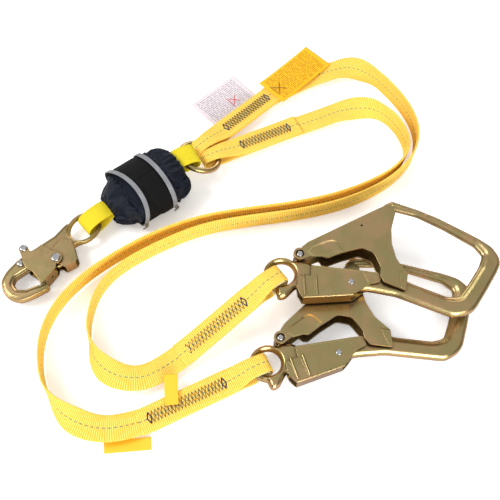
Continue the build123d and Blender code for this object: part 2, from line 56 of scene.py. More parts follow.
def at(x, y, z=0.0):
    return Vector((x - BENCH_MIDDLE[0], y - BENCH_MIDDLE[1], z)) * MM


def heading(angle):
    return Vector((math.cos(math.radians(angle)), math.sin(math.radians(angle)), 0))


# Each hook's eye, the way that the hook points from it, and the height of its middle plane.
HOOKS = {"hook_a": ((31.5, -46.0), 0, 33.2), "hook_b": ((17.5, -131.0), 16.5, 11.3)}
SNAP_EYE = (-179.6, 21.9)
SNAP_ANGLE = -125.1
SNAP_LEVEL = 10.8


# Camera ----------------------------------------------------------------------------------

target = at(0, 0, 0)
elevation = math.radians(62)
camera_data = bpy.data.cameras.new("camera")
camera_data.lens = 52.63
camera_data.sensor_width = 36
camera = bpy.data.objects.new("camera", camera_data)
bpy.context.scene.collection.objects.link(camera)
camera.location = target + Vector((0, -math.cos(elevation), math.sin(elevation))) * 0.78
camera.rotation_euler = (math.pi / 2 - elevation, 0, 0)
bpy.context.scene.camera = camera
bpy.context.scene.view_settings.view_transform = "Standard"

# Cord lines ------------------------------------------------------------------------------

LEG_A_ROUTE = [
    (21, 202, 5), (58, 226, 5), (94, 241, 7), (123, 246, 12), (148, 229, 13), (168, 203, 13),
    (184, 174, 13), (191, 143, 13), (184, 112, 13), (165, 87, 13), (138, 66, 13), (98, 47, 13),
    (50, 35, 13), (0, 28, 13), (-50, 18, 13), (-95, -3, 13), (-134, -28, 13), (-153, -52, 13),
    (-160, -80, 13), (-159, -104, 13), (-152, -125, 13), (-134, -142, 12), (-108, -146, 8),
    (-84, -134, 5), (-62, -116, 5),
]
LEG_B_ROUTE = [
    (46, 157, 5), (76, 169, 5), (106, 180, 9), (136, 184, 12), (160, 169, 13), (174, 146, 13),
    (179, 120, 13), (166, 97, 13), (142, 78, 13), (100, 58, 13), (50, 45, 13), (0, 38, 13),
    (-50, 29, 13), (-98, 10, 13), (-136, -13, 13), (-168, -38, 13), (-192, -67, 13),
    (-204, -98, 13), (-204, -130, 13), (-195, -158, 13), (-177, -180, 13), (-152, -193, 12),
    (-124, -194, 8), (-96, -184, 5),
]


def read_spline(points, order, resolution):
    """The points along a NURBS spline that has these control points."""
    data = bpy.data.curves.new("line", "CURVE")
    data.dimensions = "3D"
    data.resolution_u = resolution
    spline = data.splines.new("NURBS")
    spline.points.add(len(points) - 1)
    for point, place in zip(spline.points, points):
        point.co = (*place, 1)
    spline.order_u = order
    spline.use_endpoint_u = True
    line = bpy.data.objects.new("line", data)
    mesh = bpy.data.meshes.new_from_object(line)
    found = [v.co.copy() for v in mesh.vertices]
    bpy.data.objects.remove(line)
    bpy.data.curves.remove(data)
    bpy.data.meshes.remove(mesh)
    return found


# Node and material helpers ---------------------------------------------------------------

def srgb(red, green, blue):
    shades = [c / 255 for c in (red, green, blue)]
    return tuple(c / 12.92 if c <= 0.04045 else ((c + 0.055) / 1.055) ** 2.4 for c in shades) + (1,)


class Shader:
    """A material whose nodes are made by name and wired as they are made."""

    def __init__(self, name, **sockets):
        self.material = bpy.data.materials.new(name)
        self.material.use_nodes = True
        self.tree = self.material.node_tree
        self.surface = self.tree.nodes["Principled BSDF"]
        self.put(self.surface, sockets)

    def put(self, node, sockets):
        for key, value in sockets.items():
            target = node.inputs[key if isinstance(key, int) else key.replace("_", " ")]
            if isinstance(value, bpy.types.NodeSocket):
                self.tree.links.new(value, target)
            else:
                target.default_value = value

    def node(self, kind, sockets=(), **settings):
        made = self.tree.nodes.new("ShaderNode" + kind)
        for key, value in settings.items():
            setattr(made, key, value)
        self.put(made, dict(sockets))
        return made

    def math(self, operation, a, b=0.0, c=0.0):
        return self.node("Math", {0: a, 1: b, 2: c}, operation=operation).outputs[0]

    def mix(self, factor, a, b):
        made = self.node("Mix", data_type="RGBA")
        self.put(made, {0: factor, 6: a, 7: b})
        return made.outputs[2]

    def span(self, value, low, high, to_low=0.0, to_high=1.0):
        sockets = {0: value, 1: low, 2: high, 3: to_low, 4: to_high}
        return self.node("MapRange", sockets).outputs[0]

    def noise(self, scale, detail=3.0, rough=0.5, vector=None):
        vector = vector or self.node("TexCoord").outputs["Object"]
        sockets = {"Vector": vector, "Scale": scale, "Detail": detail, "Roughness": rough}
        return self.node("TexNoise", sockets).outputs["Fac"]

    def attribute(self, name):
        return self.node("Attribute", attribute_name=name).outputs["Fac"]

    def bump(self, height, distance, strength=1.0, normal=None):
        sockets = {"Height": height, "Distance": distance, "Strength": strength}
        if normal:
            sockets["Normal"] = normal
        return self.node("Bump", sockets).outputs["Normal"]


def zinc(name, base, warm, cool, rough, edge=0.0006):
    """Yellow zinc plate: olive gold with a pink and green bloom, with a painted warm reflection and painted
    shade at grazing angles, and painted shade in its corners.
    """
    s = Shader(name, Metallic=1.0)
    patches = s.span(s.noise(38, 2.0), 0.42, 0.62)
    streaks = s.span(s.noise(95, 3.0, 0.6), 0.4, 0.7)
    grain = s.noise(260, 3.0)
    facing = s.node("LayerWeight", {"Blend": 0.5}).outputs["Facing"]
    colour = s.mix(s.math("MULTIPLY", patches, 0.5), base, warm)
    colour = s.mix(s.math("MULTIPLY", streaks, 0.45), colour, cool)
    # Painted reflection: faces turned part way from the camera are mixed towards orange, a painted warm
    # reflection.
    colour = s.mix(s.span(facing, 0.25, 0.6), colour, s.mix(0.55, colour, srgb(176, 112, 40)))
    # Painted shade: faces seen at a grazing angle darken to dark brown.
    colour = s.mix(s.span(facing, 0.6, 0.95), colour, srgb(58, 42, 18))
    # Painted shade: recesses and corners that the ambient occlusion finds darken towards near black.
    crevice_shade = s.node("AmbientOcclusion", {"Distance": 0.005}, samples=8).outputs["AO"]
    colour = s.mix(s.span(crevice_shade, 0.3, 0.95), s.mix(0.8, colour, (0.02, 0.012, 0.004, 1)), colour)
    rounded = s.node("Bevel", {"Radius": edge}, samples=6).outputs["Normal"]
    s.put(s.surface, {
        "Base Color": colour,
        "Roughness": s.span(grain, 0.3, 0.7, rough + 0.03, rough + 0.1),
        "Normal": rounded,
    })
    return s.material


def webbing(name, crest, groove_shade, pitch, tracer=None, depth=0.0002, weft=0.55):
    """Ribbed webbing: ribs across it every pitch millimetres, and a dashed tracer yarn. Its rib tops are
    painted lit with the crest colour and its grooves painted in shade with the groove colour.
    """
    s = Shader(name, Roughness=0.7, Specular_IOR_Level=0.12)
    along = s.attribute("along")
    across = s.attribute("across")
    wave = s.math("SINE", s.math("MULTIPLY", along, 2 * math.pi / pitch))
    rib = s.span(wave, -1, 1)
    cells = s.math("SINE", s.math("MULTIPLY", across, 2 * math.pi / weft))
    mottle = s.noise(240, 3.0)
    # Painted light and shade: rib tops take the crest colour as painted light, the grooves the groove colour
    # as painted shade.
    colour = s.mix(s.math("POWER", rib, 0.9), groove_shade, crest)
    colour = s.mix(s.span(mottle, 0.35, 0.75, 0.0, 0.2), colour, groove_shade)
    if tracer:
        middle = s.math("LESS_THAN", s.math("ABSOLUTE", across), 0.62)
        dash = s.math("LESS_THAN", s.math("FRACT", s.math("DIVIDE", along, 5.4)), 0.56)
        colour = s.mix(s.math("MULTIPLY", s.math("MULTIPLY", middle, dash), 0.85), colour, tracer)
    height = s.math("ADD", rib, s.math("MULTIPLY", cells, 0.22))
    s.put(s.surface, {"Base Color": colour, "Normal": s.bump(height, depth, 0.9)})
    return s.material


def cloth(name, base, light, weave, rough, depth=0.00012, sheen=0.3):
    """Fine cloth with a woven grain and a little unevenness in its colour."""
    s = Shader(name, Roughness=rough, Sheen_Weight=sheen, Specular_IOR_Level=0.16)
    where = s.node("TexCoord").outputs["Object"]
    split = s.node("SeparateXYZ", {0: where})
    warp = s.math("SINE", s.math("MULTIPLY", s.math("ADD", split.outputs[0], split.outputs[2]), weave))
    weft = s.math("SINE", s.math("MULTIPLY", s.math("SUBTRACT", split.outputs[1], split.outputs[2]), weave))
    grain = s.math("MULTIPLY", warp, weft)
    mottle = s.noise(90, 4.0, 0.6)
    colour = s.mix(s.span(mottle, 0.4, 0.75, 0.0, 0.6), base, light)
    height = s.math("ADD", s.math("MULTIPLY", grain, 0.5), s.noise(1400, 2.0))
    s.put(s.surface, {"Base Color": colour, "Normal": s.bump(height, depth, 0.8)})
    return s.material


def plain(name, base, rough, metal=0.0, grain=900, depth=0.00005, edge=0.0):
    s = Shader(name, Base_Color=base, Metallic=metal)
    height = s.noise(grain, 3.0)
    rounded = s.node("Bevel", {"Radius": edge}, samples=8).outputs["Normal"] if edge else None
    s.put(s.surface, {
        "Roughness": s.span(height, 0.3, 0.7, rough - 0.06, rough + 0.08),
        "Normal": s.bump(height, depth, 0.5, rounded),
    })
    return s.material


def printed(name, paper, ink, rows, fill, border):
    """A vinyl label with rows of print that stand for text without being any."""
    s = Shader(name, Roughness=0.5, Specular_IOR_Level=0.15)
    along = s.attribute("along")
    across = s.attribute("across")
    row = s.math("MULTIPLY", across, rows)
    line = s.math("LESS_THAN", s.math("FRACT", row), fill)
    spot = s.node("CombineXYZ", {0: s.math("MULTIPLY", along, 26), 1: s.math("FLOOR", row), 2: 0.0})
    words = s.math("GREATER_THAN", s.noise(1.0, 1.0, vector=spot.outputs[0]), 0.47)
    from_middle = [s.math("ABSOLUTE", s.math("SUBTRACT", way, 0.5)) for way in (along, across)]
    inside = s.math("MULTIPLY", s.math("LESS_THAN", from_middle[0], border),
                    s.math("LESS_THAN", from_middle[1], 0.43))
    mark = s.math("MULTIPLY", s.math("MULTIPLY", line, words), inside)
    s.put(s.surface, {
        "Base Color": s.mix(s.math("MULTIPLY", mark, 0.75), paper, ink),
        "Normal": s.bump(s.noise(300, 2.0), 0.0002, 0.3),
    })
    return s.material


# YELLOW is the yellow webbing painted lit on its rib tops and GOLD is painted shade in its rib grooves.
YELLOW = srgb(255, 230, 124)
GOLD = srgb(249, 178, 22)
MATERIALS = {
    "zinc_plated_steel": zinc(
        "zinc_plated_steel", srgb(170, 149, 102), srgb(204, 162, 122), srgb(154, 158, 104), 0.24),
    "rivet_steel": plain("rivet_steel", srgb(190, 188, 186), 0.2, 1.0, depth=0.00001, edge=0.0016),
    "spring_steel": plain("spring_steel", srgb(150, 130, 95), 0.35, 1.0),
    # In each webbing the first colour is painted light on the rib tops and the second painted shade in the
    # grooves.
    "yellow_webbing": webbing("yellow_webbing", YELLOW, GOLD, 1.95, srgb(92, 142, 112)),
    "pale_webbing": webbing("pale_webbing", srgb(246, 238, 200), srgb(226, 204, 130), 1.3),
    "lime_webbing": webbing("lime_webbing", srgb(238, 220, 62), srgb(208, 184, 8), 0.95, depth=0.0001),
    "tear_webbing": webbing("tear_webbing", srgb(240, 236, 220), srgb(210, 204, 180), 1.5),
    "navy_thread": plain("navy_thread", srgb(12, 22, 66), 0.6, grain=2500, depth=0.0001),
    "navy_cloth": cloth("navy_cloth", srgb(11, 16, 27), srgb(19, 28, 45), 5200, 0.5, sheen=0.0),
    "black_webbing": cloth("black_webbing", srgb(8, 7, 7), srgb(14, 13, 13), 4200, 0.75, sheen=0.0),
    "grey_binding": cloth("grey_binding", srgb(128, 129, 132), srgb(158, 159, 162), 6500, 0.6, sheen=0.0),
    "elastic": cloth("elastic", srgb(20, 22, 28), srgb(34, 36, 44), 5200, 0.7),
    "white_label": printed("white_label", srgb(226, 214, 217), srgb(110, 108, 114), 17, 0.42, 0.44),
    "orange_label": printed("orange_label", srgb(252, 186, 30), srgb(130, 76, 10), 19, 0.46, 0.44),
    "orange_tag": plain("orange_tag", srgb(252, 192, 34), 0.5, grain=200, depth=0.0003),
}
RED_INK = plain("red_ink", srgb(214, 60, 60), 0.5)
BROWN_INK = plain("brown_ink", srgb(96, 58, 14), 0.5)


def paint(piece, name):
    """Gives a new piece the material made for the named slot."""
    piece.data.materials.append(MATERIALS[name])


# Mesh helpers ----------------------------------------------------------------------------

def new_mesh(name, vertices, faces, attributes=None, smooth=True):
    mesh = bpy.data.meshes.new(name)
    mesh.from_pydata(vertices, [], faces)
    for key, values in (attributes or {}).items():
        layer = mesh.attributes.new(key, "FLOAT", "POINT")
        layer.data.foreach_set("value", values)
    mesh.polygons.foreach_set("use_smooth", [smooth] * len(mesh.polygons))
    mesh.update()
    piece = bpy.data.objects.new(name, mesh)
    bpy.context.scene.collection.objects.link(piece)
    return piece


WEB_SECTION = (
    [(u, 1.0) for u in (-0.93, -0.62, -0.31, 0.0, 0.31, 0.62, 0.93)] + [(1.0, 0.5), (1.0, -0.5)]
    + [(u, -1.0) for u in (0.93, 0.62, 0.31, 0.0, -0.31, -0.62, -0.93)] + [(-1.0, -0.5), (-1.0, 0.5)]
)


def ribbon(name, points, across, widths, thickness, pitch=0.0, swell=0.0):
    """A strap along points, with its width along the vectors in across. Lengths are metres."""
    vertices, faces, along, sideways = [], [], [], []
    travelled = 0.0
    count = len(WEB_SECTION)
    for i, point in enumerate(points):
        if i:
            travelled += (point - points[i - 1]).length
        run = points[min(i + 1, len(points) - 1)] - points[max(i - 1, 0)]
        side = across[i].normalized()
        out = run.cross(side).normalized()
        rib = math.sin(2 * math.pi * travelled / (pitch * MM)) if pitch else 0.0
        for u, v in WEB_SECTION:
            reach = u * (widths[i] / 2 + swell * rib * (1 if abs(u) > 0.9 else 0))
            rise = v * (thickness / 2 + swell * 0.8 * rib * (1 if abs(v) == 1.0 else 0))
            vertices.append(point + side * reach + out * rise)
            along.append(travelled / MM)
            sideways.append(u * widths[i] / 2 / MM)
        if i:
            base = (i - 1) * count
            for k in range(count):
                nxt = (k + 1) % count
                faces.append((base + k, base + nxt, base + count + nxt, base + count + k))
    faces.append(tuple(reversed(range(count))))
    faces.append(tuple(range(len(vertices) - count, len(vertices))))
    faces = [tuple(reversed(f)) for f in faces]
    return new_mesh(name, vertices, faces, {"along": along, "across": sideways})


def tubes(name, strands, radius):
    """Round threads along several lines, as one mesh."""
    data = bpy.data.curves.new(name, "CURVE")
    data.dimensions = "3D"
    data.bevel_depth = radius
    data.bevel_resolution = 2
    data.use_fill_caps = True
    for strand in strands:
        spline = data.splines.new("POLY")
        spline.points.add(len(strand) - 1)
        for point, place in zip(spline.points, strand):
            point.co = (*place, 1)
    line = bpy.data.objects.new(name + "_line", data)
    mesh = bpy.data.meshes.new_from_object(line)
    bpy.data.objects.remove(line)
    mesh.polygons.foreach_set("use_smooth", [True] * len(mesh.polygons))
    piece = bpy.data.objects.new(name, mesh)
    bpy.context.scene.collection.objects.link(piece)
    return piece


def ease(value, low, high):
    share = min(max((value - low) / (high - low), 0.0), 1.0)
    return share * share * (3 - 2 * share)


# Legs ------------------------------------------------------------------------------------

WEB = 25.4 * MM
PLY = 2.0 * MM


def leg_web(name, route, rolls):
    """One leg's webbing. rolls are (distance along in mm, roll in degrees), flat being 0."""
    points = read_spline([at(*p) for p in route], 3, 64)
    across, raised = [], []
    travelled = 0.0
    for i, point in enumerate(points):
        if i:
            travelled += (point - points[i - 1]).length
        run = (points[min(i + 1, len(points) - 1)] - points[max(i - 1, 0)]).normalized()
        left = UP.cross(run).normalized()
        roll = rolls[0][1]
        for (s0, r0), (s1, r1) in zip(rolls, rolls[1:]):
            roll += (r1 - r0) * ease(travelled / MM, s0, s1)
        turn = Matrix.Rotation(math.radians(roll), 3, run)
        across.append(turn @ left)
        low = abs(across[-1].z) * WEB / 2 + 1.5 * MM
        raised.append(Vector((point.x, point.y, max(point.z, low))))
    piece = ribbon(name, raised, across, [WEB] * len(points), PLY, 1.95, 0.14 * MM)
    paint(piece, "yellow_webbing")
    return piece, points


def side_line(fold, angle, marks, resolution=10):
    """A smooth line through marks of (distance, height) in the upright plane from fold."""
    forward = heading(angle)
    return read_spline([fold + forward * a * MM + UP * h * MM for a, h in marks], 4, resolution)


def sewn_eye(name, fold_place, goal, gap, knee, narrow, tail):
    """A leg's folded end: over and round from the tail to the leg, sewn where it is double."""
    fold = at(*fold_place)
    reach = math.hypot(goal[0] - fold_place[0], goal[1] - fold_place[1])
    angle = math.degrees(math.atan2(goal[1] - fold_place[1], goal[0] - fold_place[0]))
    drop = goal[2] + 1 - fold_place[2]

    def middle(a):
        return drop * (0.05 + 0.95 * max(0.0, (a - knee) / (reach - knee)))

    top = [(reach + tail, drop + 1.3), (reach, middle(reach) + 1.1)]
    top += [(reach * 0.8, middle(reach * 0.8) + 1.1), (knee + 16, middle(knee + 16) + 1.1)]
    top += [(knee + 4, middle(knee + 4) + 1.2), (knee - 6, 2.6), (knee * 0.6, gap * 0.93)]
    top += [(gap * 1.5, gap), (gap * 0.5, gap * 0.98), (0.4, gap * 0.62)]
    bottom = [(0.4, -gap * 0.62), (gap * 0.5, -gap * 0.98), (gap * 1.5, -gap), (knee * 0.6, -gap * 0.93)]
    bottom += [(knee - 6, -2.6), (knee + 4, middle(knee + 4) - 1.2)]
    bottom += [(knee + 16, middle(knee + 16) - 1.1), (reach * 0.8, middle(reach * 0.8) - 1.1)]
    bottom += [(reach, middle(reach) - 1.1)]
    points = side_line(fold, angle, top + bottom, 14)
    forward = heading(angle)
    side = UP.cross(forward)
    widths = []
    for point in points:
        distance = (point - fold).dot(forward) / MM
        widths.append((narrow + (25.4 - narrow) * ease(distance, 8, knee + 10)) * MM)
    piece = ribbon(name, points, [side] * len(points), widths, PLY)
    paint(piece, "yellow_webbing")

    def on_top(a, sideways):
        return fold + forward * a * MM + side * sideways * MM + UP * (middle(a) + 1.1 + 1.0 + 0.35) * MM

    return piece, on_top, knee, reach


def stitch_rows(on_top, first, last):
    """Two crossing zigzags, closed by a bar of stitches at each end."""
    cycles = round((last - first) / 7.2)
    strands = []
    for sign in (1, -1):
        strands.append([
            on_top(first + (last - first) * i / (cycles * 2), sign * 5.7 * (1 if i % 2 else -1))
            for i in range(cycles * 2 + 1)
        ])
    for end, step in ((first, -1), (last, 1)):
        strands.append([on_top(end, -5.7), on_top(end + step * 2.4, 0), on_top(end, 5.7)])
    return strands


def wear_pad(name, hook_place, angle, gap):
    fold = at(*hook_place)
    marks = [(17, gap - 1.5), (gap * 0.8, gap - 1.6), (4, gap * 0.72), (2.2, 0), (4, -gap * 0.72)]
    marks += [(gap * 0.8, 1.6 - gap), (17, 1.5 - gap)]
    points = side_line(fold, angle, marks)
    side = UP.cross(heading(angle))
    piece = ribbon(name, points, [side] * len(points), [20.4 * MM] * len(points), 0.8 * MM)
    paint(piece, "pale_webbing")
    return piece


def leg(name, route, rolls, ring_eye, hook_eye, ring_gap, ring_narrow):
    web, path = leg_web(name + "_web", route, rolls)
    ring_end, ring_top, ring_knee, ring_reach = sewn_eye(
        name + "_ring_fold", ring_eye, route[0], ring_gap, 42, ring_narrow, 11)
    towards = math.atan2(hook_eye[1] - route[-1][1], hook_eye[0] - route[-1][0])
    fold = (hook_eye[0] + math.cos(towards), hook_eye[1] + math.sin(towards), hook_eye[2])
    hook_end, hook_top, hook_knee, hook_reach = sewn_eye(
        name + "_hook_fold", fold, route[-1], 10.3, 38, 19, 9)
    strands = stitch_rows(ring_top, ring_knee + 8, ring_reach - 2)
    strands += stitch_rows(hook_top, hook_knee + 10, hook_reach - 2)
    thread = tubes(name + "_thread", strands, 0.64 * MM)
    paint(thread, "navy_thread")
    pad = wear_pad(name + "_pad", fold, math.degrees(towards) + 180, 10.3)
    for piece in (web, ring_end, hook_end, thread, pad):
        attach(piece, "lanyard")
    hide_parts(name + "_webbing")
    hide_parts(name + "_ring_eye")
    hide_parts(name + "_hook_eye")
    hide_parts(name + "_stitching")
    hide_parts(name + "_wear_pad")
    return web, path, [ring_end, hook_end, thread, pad]


def hook_eye(name):
    place, _, level = HOOKS[name]
    return (*place, level)


A_ROLLS = [(85, 0), (150, 84), (300, 88), (700, 88), (775, 0)]
B_ROLLS = [(50, 0), (120, 84), (280, 88), (690, 88), (765, 0)]
leg_a, path_a, with_a = leg(
    "leg_a", LEG_A_ROUTE, A_ROLLS, (-63.0, 119.0, 9.8), hook_eye("hook_a"), 7.2, 17)
leg_b, path_b, with_b = leg(
    "leg_b", LEG_B_ROUTE, B_ROLLS, (-54.0, 109.0, 8.2), hook_eye("hook_b"), 6.7, 17)


# Labels ----------------------------------------------------------------------------------

def label(name, place, angle, length, width, curl, slot, node, ink=None, marks=()):
    """A thin printed card with a little curl. marks are strips of (x0, y0, x1, y1, width)."""
    forward = heading(angle)
    side = UP.cross(forward)
    middle = at(*place)
    nx, ny = 40, 24
    vertices, faces, along, across = [], [], [], []

    def lift(u, v):
        wave = math.sin(3.1 * u + 0.6) * math.cos(2.3 * v)
        return (0.7 + 0.5 * wave + curl * (abs(2 * u - 1) ** 3)) * MM

    def spot(u, v, rise=0.0):
        x = (u - 0.5) * length * MM
        y = (v - 0.5) * width * MM
        return middle + forward * x + side * y + UP * (lift(u, v) + rise)

    for layer in (0.35, -0.35):
        for i in range(nx + 1):
            for j in range(ny + 1):
                vertices.append(spot(i / nx, j / ny, layer * MM))
                along.append(i / nx)
                across.append(j / ny)
    row = ny + 1
    total = (nx + 1) * row
    for i in range(nx):
        for j in range(ny):
            a = i * row + j
            faces.append((a, a + row, a + row + 1, a + 1))
            faces.append((total + a + 1, total + a + row + 1, total + a + row, total + a))
    rim = [i * row for i in range(nx + 1)] + [nx * row + j for j in range(1, ny + 1)]
    rim += [i * row + ny for i in range(nx - 1, -1, -1)] + [j for j in range(ny - 1, 0, -1)]
    for a, b in zip(rim, rim[1:] + rim[:1]):
        faces.append((a, total + a, total + b, b))
    piece = new_mesh(name, vertices, faces, {"along": along, "across": across})
    paint(piece, slot)
    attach(piece, "lanyard")
    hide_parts(node)
    pieces = [piece]
    if marks:
        strips = []
        for x0, y0, x1, y1 in marks:
            shares = [k / 8 for k in range(9)]
            strips.append([spot(x0 + (x1 - x0) * t, y0 + (y1 - y0) * t, 0.45 * MM) for t in shares])
        drawn = tubes(name + "_mark", strips, 0.4 * MM)
        drawn.data.materials.append(ink)
        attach(drawn, "lanyard")
        pieces.append(drawn)
    return pieces


WHITE_MARKS = [(0.58, 0.2, 0.72, 0.44), (0.58, 0.44, 0.72, 0.2), (0.56, 0.14, 0.56, 0.5)]
ORANGE_MARKS = [(0.08, 0.3, 0.22, 0.6), (0.08, 0.6, 0.22, 0.3), (0.06, 0.26, 0.06, 0.66)]
white = label("label_white_card", (-31, 201, 0.6), 43, 66, 43, 1.5,
              "white_label", "label_white", RED_INK, WHITE_MARKS)
orange = label("label_orange_card", (54, 235, 8.6), 45, 82, 40, 1.2,
               "orange_label", "label_orange", BROWN_INK, ORANGE_MARKS)
tag_a = label("tag_a_card", (-75, -157, 12.0), 95, 30, 13, 0.5, "orange_tag", "tag_a")
tag_b = label("tag_b_card", (-114, -207, 0.6), 5, 44, 12, 0.5, "orange_tag", "tag_b")

tuple(path_a[0])
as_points(path_a)
tuple(path_b[0])
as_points(path_b)

# Absorber pack ---------------------------------------------------------------------------

PACK_MIDDLE = at(-116.0, 65.0, 20.8)
PACK_ALONG = heading(36.9)
PACK_SIDE = UP.cross(PACK_ALONG)
BAND_HALF_WIDTH = 36.0
BAND_HALF_HEIGHT = 19.4


def on_pack(distance, turn, half_width, half_height, rise=0.0):
    """A point round the pack: turn 0 is its top and turn -90 its side towards the camera."""
    angle = math.radians(turn)
    across = PACK_SIDE * half_width * math.sin(angle)
    return PACK_MIDDLE + (PACK_ALONG * distance + across + UP * (half_height * math.cos(angle) + rise)) * MM


COVER = [
    (-37, 13.5, 7.5, -3.5), (-41, 14.5, 8.5, -4), (-43.5, 15.5, 9.5, -4), (-44, 17.0, 10.6, -3.8),
    (-41.5, 19.5, 12.4, -3.2), (-36.5, 24.0, 15.2, -2.4), (-30, 29.4, 17.4, -1.2), (-24, 33.4, 18.6, -0.4),
    (-18, 35.2, 18.8, 0), (0, 35.4, 19.0, 0), (18, 35.4, 19.0, 0),
    (24, 35.0, 18.8, 0), (31, 33.0, 18.0, 0), (38, 29.0, 16.2, 0), (43, 25.0, 14.4, 0.5),
    (45.5, 21.0, 12.4, 1), (44.5, 18.5, 10.4, 1), (41, 17.0, 9.4, 1), (37, 15.5, 8.4, 1),
]


def interpolate(table, position):
    """A smooth value at a position counted in rows of a table."""
    i = min(int(position), len(table) - 2)
    share = position - i
    rows = [table[max(i - 1, 0)], table[i], table[i + 1], table[min(i + 2, len(table) - 1)]]
    found = []
    for a, b, c, d in zip(*rows):
        bend = (2 * a - 5 * b + 4 * c - d) * share ** 2 + (3 * b - a - 3 * c + d) * share ** 3
        found.append(0.5 * (2 * b + (c - a) * share + bend))
    return found


LIP_RINGS = 14
LIP_HOLD = 0.9
CLOTH_LIMIT = 4.5 * MM


def absorber_cover():
    """The gathered bag, blown up between its mouths and the band that holds its middle."""
    random.seed(4)
    rings, around = 96, 168
    pleats = [(random.uniform(0, 360), random.uniform(9, 30), random.uniform(0.5, 1.0)) for _ in range(16)]
    vertices, faces, hold = [], [], []
    for i in range(rings + 1):
        row = interpolate(COVER, i / rings * (len(COVER) - 1))
        distance, wide, high, rise = row
        mouth = ease(abs(distance), 26, 44)
        middle = 1 - ease(abs(distance), 19, 23)
        for k in range(around):
            turn = 360 * k / around
            fold = sum(size * math.sin(math.radians(turn * count + phase))
                       for phase, count, size in [(p, round(c), s) for p, c, s in pleats]) / 4
            scale = 1 + mouth * 0.085 * fold
            if turn < 180:
                scale *= 1 - 0.12 * ease(-distance, 22, 40)
            vertices.append(on_pack(distance, turn, wide * scale, high * scale, rise))
            lip = LIP_HOLD if i < LIP_RINGS or i > rings - LIP_RINGS else 0.0
            hold.append(max(middle, lip))
    for i in range(rings):
        for k in range(around):
            a = i * around + k
            b = i * around + (k + 1) % around
            faces.append((a, a + around, b + around, b))
    piece = new_mesh("cover_cloth", vertices, faces)
    group = piece.vertex_groups.new(name="held")
    for index, weight in enumerate(hold):
        group.add([index], weight, "REPLACE")
    before = [v.co.copy() for v in piece.data.vertices]
    modifier = piece.modifiers.new("cloth", "CLOTH")
    settings = modifier.settings
    settings.quality = 6
    settings.mass = 0.15
    settings.tension_stiffness = 12
    settings.compression_stiffness = 12
    settings.bending_stiffness = 0.25
    settings.vertex_group_mass = "held"
    settings.pin_stiffness = 1.0
    settings.shrink_min = -0.16
    settings.use_pressure = True
    settings.uniform_pressure_force = 0.8
    settings.effector_weights.gravity = 0
    scene = bpy.context.scene
    for step in range(1, 29):
        scene.frame_set(step)
    view = bpy.context.evaluated_depsgraph_get()
    settled = bpy.data.meshes.new_from_object(piece.evaluated_get(view))
    piece.modifiers.clear()
    for vertex, old, new in zip(piece.data.vertices, before, settled.vertices):
        move = new.co - old
        if move.length > CLOTH_LIMIT:
            move = move.normalized() * CLOTH_LIMIT
        place = old + move
        place.z = max(place.z, 0.9 * MM)
        vertex.co = place
    bpy.data.meshes.remove(settled)
    scene.frame_set(1)
    piece.modifiers.new("smooth", "SUBSURF").render_levels = 1
    paint(piece, "navy_cloth")
    return piece


cover = absorber_cover()
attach(cover, "lanyard")
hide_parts("absorber_cover")


def bow(distance, turn):
    """How far the wrap's two edges lean along the pack over its top."""
    crest = max(0.0, math.cos(math.radians(turn + 22)))
    return distance + (11.5 if distance < 0 else 5.5) * crest ** 1.5 - 3.5


def band_shell(name, rows, first_turn, last_turn, base, wall, slot, edge=None):
    """A wrap round the pack from one turn to another, thick by wall, as a closed shell."""
    steps = 150
    vertices, faces = [], []
    for i in range(steps + 1):
        turn = first_turn + (last_turn - first_turn) * i / steps
        low, high = rows if edge is None else edge(i / steps)
        for layer in (0, 1):
            for j in range(13):
                share = j / 12
                distance = low + (high - low) * share
                tuck = 0.5 * (abs(2 * share - 1) ** 6)
                bulge = 0.5 * math.sin(math.pi * share) + 0.25 * math.sin(math.radians(turn * 3) + share * 4)
                crown = max(0.0, math.cos(math.radians(turn)) + 0.6) * 0.6
                puff = base + wall * layer - tuck + bulge * crown
                if edge is None:
                    distance = bow(low, turn) * (1 - share) + bow(high, turn) * share
                vertices.append(on_pack(distance, turn, BAND_HALF_WIDTH + puff, BAND_HALF_HEIGHT + puff))
    count = 26
    for i in range(steps):
        a = i * count
        b = a + count
        for j in range(12):
            faces.append((a + 13 + j, a + 14 + j, b + 14 + j, b + 13 + j))
            faces.append((a + j, b + j, b + j + 1, a + j + 1))
        faces.append((a, a + 13, b + 13, b))
        faces.append((a + 12, b + 12, b + 25, a + 25))
    for a in (0, steps * count):
        faces.append(tuple(a + j for j in range(13)) + tuple(a + 25 - j for j in range(13)))
    piece = new_mesh(name, vertices, faces)
    for vertex in piece.data.vertices:
        vertex.co.z = max(vertex.co.z, 0.3 * MM)
    paint(piece, slot)
    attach(piece, "lanyard")
    return piece


def flap_edge(share):
    """The overlap's side edges: rounded at its upper end and curving like an S below it."""
    tip = math.sqrt(max(0.0, 1 - max(0.0, 1 - share * 7) ** 2))
    low = -3.0 - 4.0 * math.sin(math.pi * share) + 7 * share
    return 6 - (6 - low) * tip, 6 + 11.5 * tip


band = band_shell("wrap_cloth", (-20, 20), 0, 360, 0.3, 1.2, "black_webbing")
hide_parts("wrap_band")
band_shell("wrap_flap", None, -8, -128, 1.5, 1.1, "black_webbing", flap_edge)


def binding(name, distance, turns, lean=0.0, width=5.0):
    points, across = [], []
    steps = 140
    for i in range(steps + 1):
        turn = turns[0] + (turns[1] - turns[0]) * i / steps
        top = max(0.0, math.cos(math.radians(turn)) + 0.6) * 0.7
        puff = 1.9 + top
        sway = lean * math.sin(math.radians(turn) * 2)
        place = bow(distance, turn) + sway
        point = on_pack(place, turn, BAND_HALF_WIDTH + puff, BAND_HALF_HEIGHT + puff)
        point.z = max(point.z, 0.5 * MM)
        points.append(point)
        across.append(PACK_ALONG)
    piece = ribbon(name, points, across, [width * MM] * len(points), 0.9 * MM)
    paint(piece, "grey_binding")
    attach(piece, "lanyard")
    return piece


